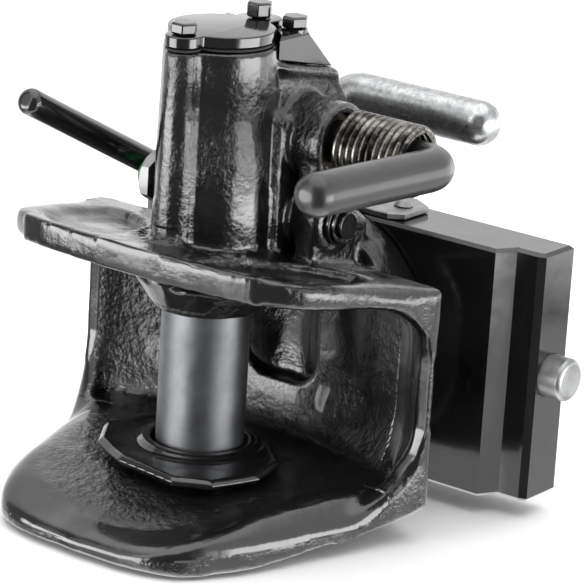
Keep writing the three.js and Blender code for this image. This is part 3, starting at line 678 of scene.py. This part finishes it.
def wear_plate():
    """The wear plate under thick enamel: a rounded rim, a skin a little creased and lifted on the left."""
    obj = remeshed("wear_plate", 0.7, 4)
    firm, wide, top = 29, 6, -33.5        # the skin is loose outside this radius, on the upper side
    for vertex in obj.data.vertices:
        x, y, z = vertex.co / MM - Vector((0, PIN_Y, PIN_Z))
        out = math.hypot(x, y)
        loose = min(max((out - firm) / wide, 0), 1) * (z > top)
        crease = 0.72 * abs(noise.noise(Vector((x * 0.04, y * 0.05, 3.7))))
        lift = 0.06 * max(-x - 18, 0)
        vertex.co.z += (crease + lift) * loose * MM
    smooth_by_angle(obj.data, 60)
    return put_in(obj, "wear_plate")


EASED = {          # edge rounding in millimetres
    "cover_bolt_front": 0.5, "cover_bolt_rear": 0.5, "rear_cover": 1.0, "rear_cover_bolt": 0.5,
    "coupling_pin": 0.6, "release_end_cap": 0.5, "latch_shaft": 0.5, "latch_washer": 0.4,
    "latch_circlip": 0.25, "indicator_bush": 0.4, "indicator_pin": 0.4, "thrust_washer": 0.4,
    "castle_nut": 0.8, "split_pin": 0.5, "slide_plate": 0.8, "slide_cover": 0.3, "handle_bracket": 0.6,
    "bracket_rivet_right": 0.5, "bracket_rivet_left": 0.5, "locking_pin_right": 0.7,
    "locking_pin_left": 0.7,
}
FLAT = ("slide_plate", "slide_cover", "handle_bracket", "rear_cover")       # their faces stay flat
SHARP, PLATE_SHARP = 28, 14       # an edge is rounded where its faces turn by this many degrees

casting()
release_lever()
torsion_spring()
hand_lever()
slide_handle()
top_cover()
wear_plate()
for node, width in EASED.items():
    sharp = PLATE_SHARP if node == "slide_plate" else SHARP
    skin = eased(node, width, sharp, crisp=node in FLAT)
    # painted shade: only the indicator bush's zinc is darkened, to tone down its reflection of the left
    # softbox
    paint(skin.data, "painted_shade", [float(node == "indicator_bush")] * len(skin.data.vertices))
for name, obj in NODES.items():
    dress(obj, SLOT_OF[name])


# ---------- stage, light and camera ----------
FRONT = math.radians(36.3)        # middle of the dim opening, from -Y towards +X
SURROUND = [      # degrees round from the front, towards +X, and how bright the surround is there
    (-180, 1.3), (-120, 1.3), (-113, 0.4), (-90, 0.4), (-84, 1.4), (-62, 1.6), (-58, 3.2), (-50, 3.2),
    (-45, 2.0), (-39, 0.22), (32, 0.22), (38, 1.7), (90, 1.5), (100, 1.2), (125, 1.3)]
BRIGHTEST = 10.0          # what the top of the surround's ramp stands for
OVERHEAD = 2.8            # how bright the surround is straight up and down
SOFTBOXES = [     # name, first and last degrees round from the front, brightness
    ("left_softbox", -91, -38, 10.5), ("right_softbox", 38, 92, 10.0), ("side_softbox", 90, 150, 3.2)]


def stage():
    """A pale floor just under the lowest point, which reflections don't see."""
    half, low = 6, CAD_BOX[0].z - 0.5 * MM
    mesh = bpy.data.meshes.new("floor")
    corners = [(-half, -half, low), (half, -half, low), (half, half, low), (-half, half, low)]
    mesh.from_pydata(corners, [], [(0, 1, 2, 3)])
    floor = object_from("floor", mesh)
    n = Nodes("floor")
    n.feed(Base_Color=n.ramp(n.noise(3, 2.0), [(0.3, (0.86, 0.86, 0.86)), (0.8, (0.90, 0.90, 0.90))]))
    n.set(Roughness=0.9)
    floor.data.materials.append(n.mat)
    floor.visible_glossy = False


def sky():
    """A pale studio surround whose brightness changes round the object, with a dim opening in front."""
    world = bpy.data.worlds.new("studio")
    bpy.context.scene.world = world
    world.use_nodes = True
    tree = world.node_tree
    background = tree.nodes["Background"]
    direction = tree.nodes.new("ShaderNodeTexCoord").outputs["Generated"]

    def node(kind, *inputs, **props):
        made = tree.nodes.new(kind)
        for key, value in props.items():
            setattr(made, key, value)
        for socket, value in zip(made.inputs, inputs):
            if isinstance(value, bpy.types.NodeSocket):
                tree.links.new(value, socket)
            else:
                socket.default_value = value
        return made.outputs

    front = (math.sin(FRONT), -math.cos(FRONT), 0)
    side = (math.cos(FRONT), math.sin(FRONT), 0)
    ahead = node("ShaderNodeVectorMath", direction, front, operation="DOT_PRODUCT")["Value"]
    across = node("ShaderNodeVectorMath", direction, side, operation="DOT_PRODUCT")["Value"]
    turn = node("ShaderNodeMath", across, ahead, operation="ARCTAN2")[0]
    share = node("ShaderNodeMath", turn, 1 / (2 * math.pi), 0.5, operation="MULTIPLY_ADD")[0]
    ramp = tree.nodes.new("ShaderNodeValToRGB")
    while len(ramp.color_ramp.elements) < len(SURROUND):
        ramp.color_ramp.elements.new(0.5)
    for element, (degrees, level) in zip(ramp.color_ramp.elements, SURROUND):
        element.position = degrees / 360 + 0.5
        element.color = (level / BRIGHTEST, level / BRIGHTEST, level / BRIGHTEST, 1)
    tree.links.new(share, ramp.inputs["Fac"])
    height = node("ShaderNodeSeparateXYZ", direction)["Z"]
    steep = node("ShaderNodeMath", height, operation="ABSOLUTE")[0]
    level_part = node("ShaderNodeMapRange", steep, 0.86, 0.72, interpolation_type="SMOOTHSTEP")["Result"]
    excess = node("ShaderNodeMath", ramp.outputs["Color"], BRIGHTEST, -OVERHEAD, operation="MULTIPLY_ADD")[0]
    strength = node("ShaderNodeMath", excess, level_part, OVERHEAD, operation="MULTIPLY_ADD")[0]
    tree.links.new(strength, background.inputs["Strength"])
    background.inputs["Color"].default_value = (1, 1, 1, 1)


def glow(name, start, end, level):
    """A tall curved soft light that only reflections see; it fades at its sides and towards the floor."""
    away, columns, fade = 1.2, 16, 1.5
    rows = [(-0.30, 0.0), (-0.235, 1.0), (0.20, 1.0), (0.30, 0.0)]        # height and strength
    points, values = [], []
    for height, strength in rows:
        for i in range(columns + 1):
            a = FRONT + math.radians(start + (end - start) * i / columns)
            points.append((away * math.sin(a), PIN_Y * MM - away * math.cos(a), PIN_Z * MM + height))
            values.append(strength * level * min(1, i / fade, (columns - i) / fade))
    wide = columns + 1
    faces = [(r * wide + i, r * wide + i + 1, (r + 1) * wide + i + 1, (r + 1) * wide + i)
             for r in range(len(rows) - 1) for i in range(columns)]
    mesh = bpy.data.meshes.new(name)
    mesh.from_pydata(points, [], faces)
    paint(mesh, "level", values)
    lamp = object_from(name, mesh)
    n = Nodes(name)
    n.feed(Emission_Strength=n.attribute("level"))
    n.set(Emission_Color=(1, 1, 1, 1), Base_Color=(0, 0, 0, 1), Roughness=1.0)
    mesh.materials.append(n.mat)
    for kind in ("camera", "diffuse", "shadow", "transmission", "volume_scatter"):
        setattr(lamp, "visible_" + kind, False)


def camera():
    """The photo's camera, from its azimuth, elevation, roll, place and focal length."""
    data = bpy.data.cameras.new("camera")
    cam = bpy.data.objects.new("camera", data)
    bpy.context.scene.collection.objects.link(cam)
    azimuth, elevation, roll = (math.radians(d) for d in (36.29, 17.26, 3.57))
    place, lens = (0.86477, -1.2294, 0.47326), 214.29
    back = Vector((math.sin(azimuth) * math.cos(elevation), -math.cos(azimuth) * math.cos(elevation),
                   math.sin(elevation)))
    right = Vector((math.cos(azimuth), math.sin(azimuth), 0))
    up = back.cross(right)
    turned = right * math.cos(roll) + up * math.sin(roll)
    over = up * math.cos(roll) - right * math.sin(roll)
    cam.matrix_world = Matrix([(turned[i], over[i], back[i], place[i]) for i in range(3)] + [(0, 0, 0, 1)])
    data.sensor_width = 36
    data.lens = lens
    data.clip_start, data.clip_end = 0.05, 50
    bpy.context.scene.camera = cam


stage()
sky()
for box in SOFTBOXES:
    glow(*box)
camera()
bpy.context.scene.view_settings.view_transform = "Standard"
